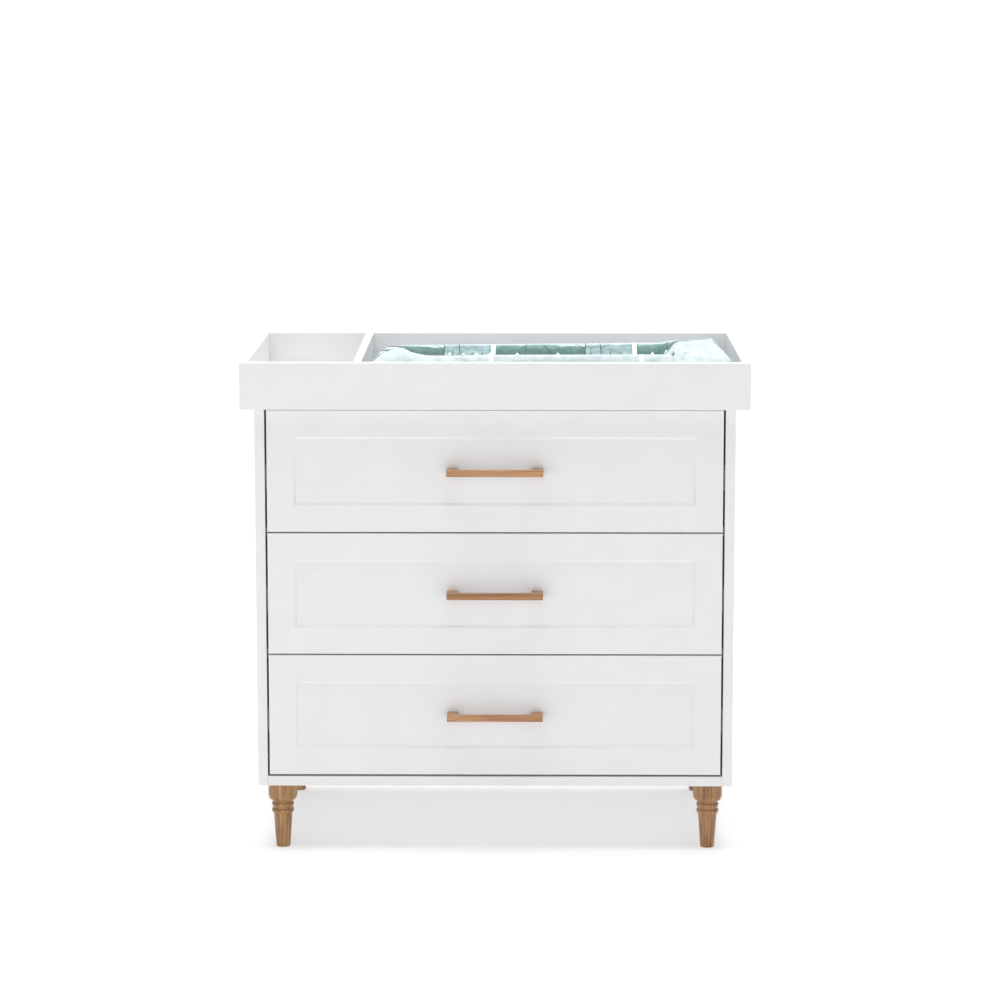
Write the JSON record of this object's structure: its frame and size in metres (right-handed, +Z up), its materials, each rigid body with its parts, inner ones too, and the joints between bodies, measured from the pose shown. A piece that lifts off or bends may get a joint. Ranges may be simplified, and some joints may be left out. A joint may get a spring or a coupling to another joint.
{
  "type": "changing table",
  "caption": "White nursery changing table: three-drawer cabinet on turned wooden legs, with wooden bar handles and a lift-off tray holding a storage bay and a contoured changing pad.",
  "frame": {"origin": "on the floor, under the middle of the footprint that runs from the handles' fronts to the tray's back and across the tray's width", "axes": "+X to the right as seen from the front, +Y towards the back, +Z up"},
  "size_m": [0.92, 0.547, 0.9063],
  "materials": {
    "painted_board": "satin white paint on fibreboard",
    "drawer_board": "white melamine on chipboard",
    "white_hardboard": "white painted hardboard",
    "turned_wood": "clear satin lacquer on turned glued hardwood",
    "handle_wood": "clear satin lacquer on solid hardwood",
    "beech_peg": "bare beech",
    "zinc_steel": "bright zinc plate",
    "pad_cover": "printed cotton cover over foam"
  },
  "bodies": {
    "cabinet": {"side_panel_left": "painted_board", "side_panel_right": "painted_board", "top_panel": "painted_board", "bottom_panel": "painted_board", "back_panel": "white_hardboard", "upper_rail": "painted_board", "lower_rail": "painted_board", "back_rail": "painted_board", "leg_front_left": "turned_wood", "leg_front_right": "turned_wood", "leg_back_left": "turned_wood", "leg_back_right": "turned_wood", "leg_studs": "zinc_steel", "leg_inserts": "zinc_steel", "cabinet_dowels": "beech_peg", "cam_fittings": "zinc_steel", "top_runner_outer": "zinc_steel", "middle_runner_outer": "zinc_steel", "bottom_runner_outer": "zinc_steel", "wall_brackets": "zinc_steel", "back_screws": "zinc_steel"},
    "top_drawer": {"top_drawer_front": "painted_board", "top_drawer_side_left": "drawer_board", "top_drawer_side_right": "drawer_board", "top_drawer_back": "drawer_board", "top_drawer_base": "white_hardboard", "top_handle": "handle_wood", "top_handle_screws": "zinc_steel", "top_runner_inner": "zinc_steel"},
    "middle_drawer": {"middle_drawer_front": "painted_board", "middle_drawer_side_left": "drawer_board", "middle_drawer_side_right": "drawer_board", "middle_drawer_back": "drawer_board", "middle_drawer_base": "white_hardboard", "middle_handle": "handle_wood", "middle_handle_screws": "zinc_steel", "middle_runner_inner": "zinc_steel"},
    "bottom_drawer": {"bottom_drawer_front": "painted_board", "bottom_drawer_side_left": "drawer_board", "bottom_drawer_side_right": "drawer_board", "bottom_drawer_back": "drawer_board", "bottom_drawer_base": "white_hardboard", "bottom_handle": "handle_wood", "bottom_handle_screws": "zinc_steel", "bottom_runner_inner": "zinc_steel"},
    "top_runner": {"top_runner_middle": "zinc_steel"},
    "middle_runner": {"middle_runner_middle": "zinc_steel"},
    "bottom_runner": {"bottom_runner_middle": "zinc_steel"},
    "tray": {"tray_front": "painted_board", "tray_back": "painted_board", "tray_side_left": "painted_board", "tray_side_right": "painted_board", "tray_floor": "painted_board", "tray_divider": "painted_board", "tray_battens": "beech_peg", "tray_dowels": "beech_peg", "tray_straps": "zinc_steel", "strap_screws": "zinc_steel"},
    "pad": {"changing_pad": "pad_cover"}
  },
  "joints": [
    {"name": "top_drawer_slide", "type": "slide", "parent": "cabinet", "child": "top_drawer", "axis": [0, -1, 0], "range_m": [0, 0.38]},
    {"name": "middle_drawer_slide", "type": "slide", "parent": "cabinet", "child": "middle_drawer", "axis": [0, -1, 0], "range_m": [0, 0.38]},
    {"name": "bottom_drawer_slide", "type": "slide", "parent": "cabinet", "child": "bottom_drawer", "axis": [0, -1, 0], "range_m": [0, 0.38]},
    {"name": "top_runner_slide", "type": "slide", "parent": "cabinet", "child": "top_runner", "axis": [0, -1, 0], "range_m": [0, 0.19]},
    {"name": "middle_runner_slide", "type": "slide", "parent": "cabinet", "child": "middle_runner", "axis": [0, -1, 0], "range_m": [0, 0.19]},
    {"name": "bottom_runner_slide", "type": "slide", "parent": "cabinet", "child": "bottom_runner", "axis": [0, -1, 0], "range_m": [0, 0.19]},
    {"name": "tray_lift", "type": "slide", "parent": "cabinet", "child": "tray", "axis": [0, 0, 1], "range_m": [0, 0.15]},
    {"name": "pad_lift", "type": "slide", "parent": "tray", "child": "pad", "axis": [0, 0, 1], "range_m": [0, 0.12]}
  ],
  "couplings": [
    {"joint": "top_runner_slide", "follows": "top_drawer_slide", "ratio": 0.5},
    {"joint": "middle_runner_slide", "follows": "middle_drawer_slide", "ratio": 0.5},
    {"joint": "bottom_runner_slide", "follows": "bottom_drawer_slide", "ratio": 0.5}
  ]
}
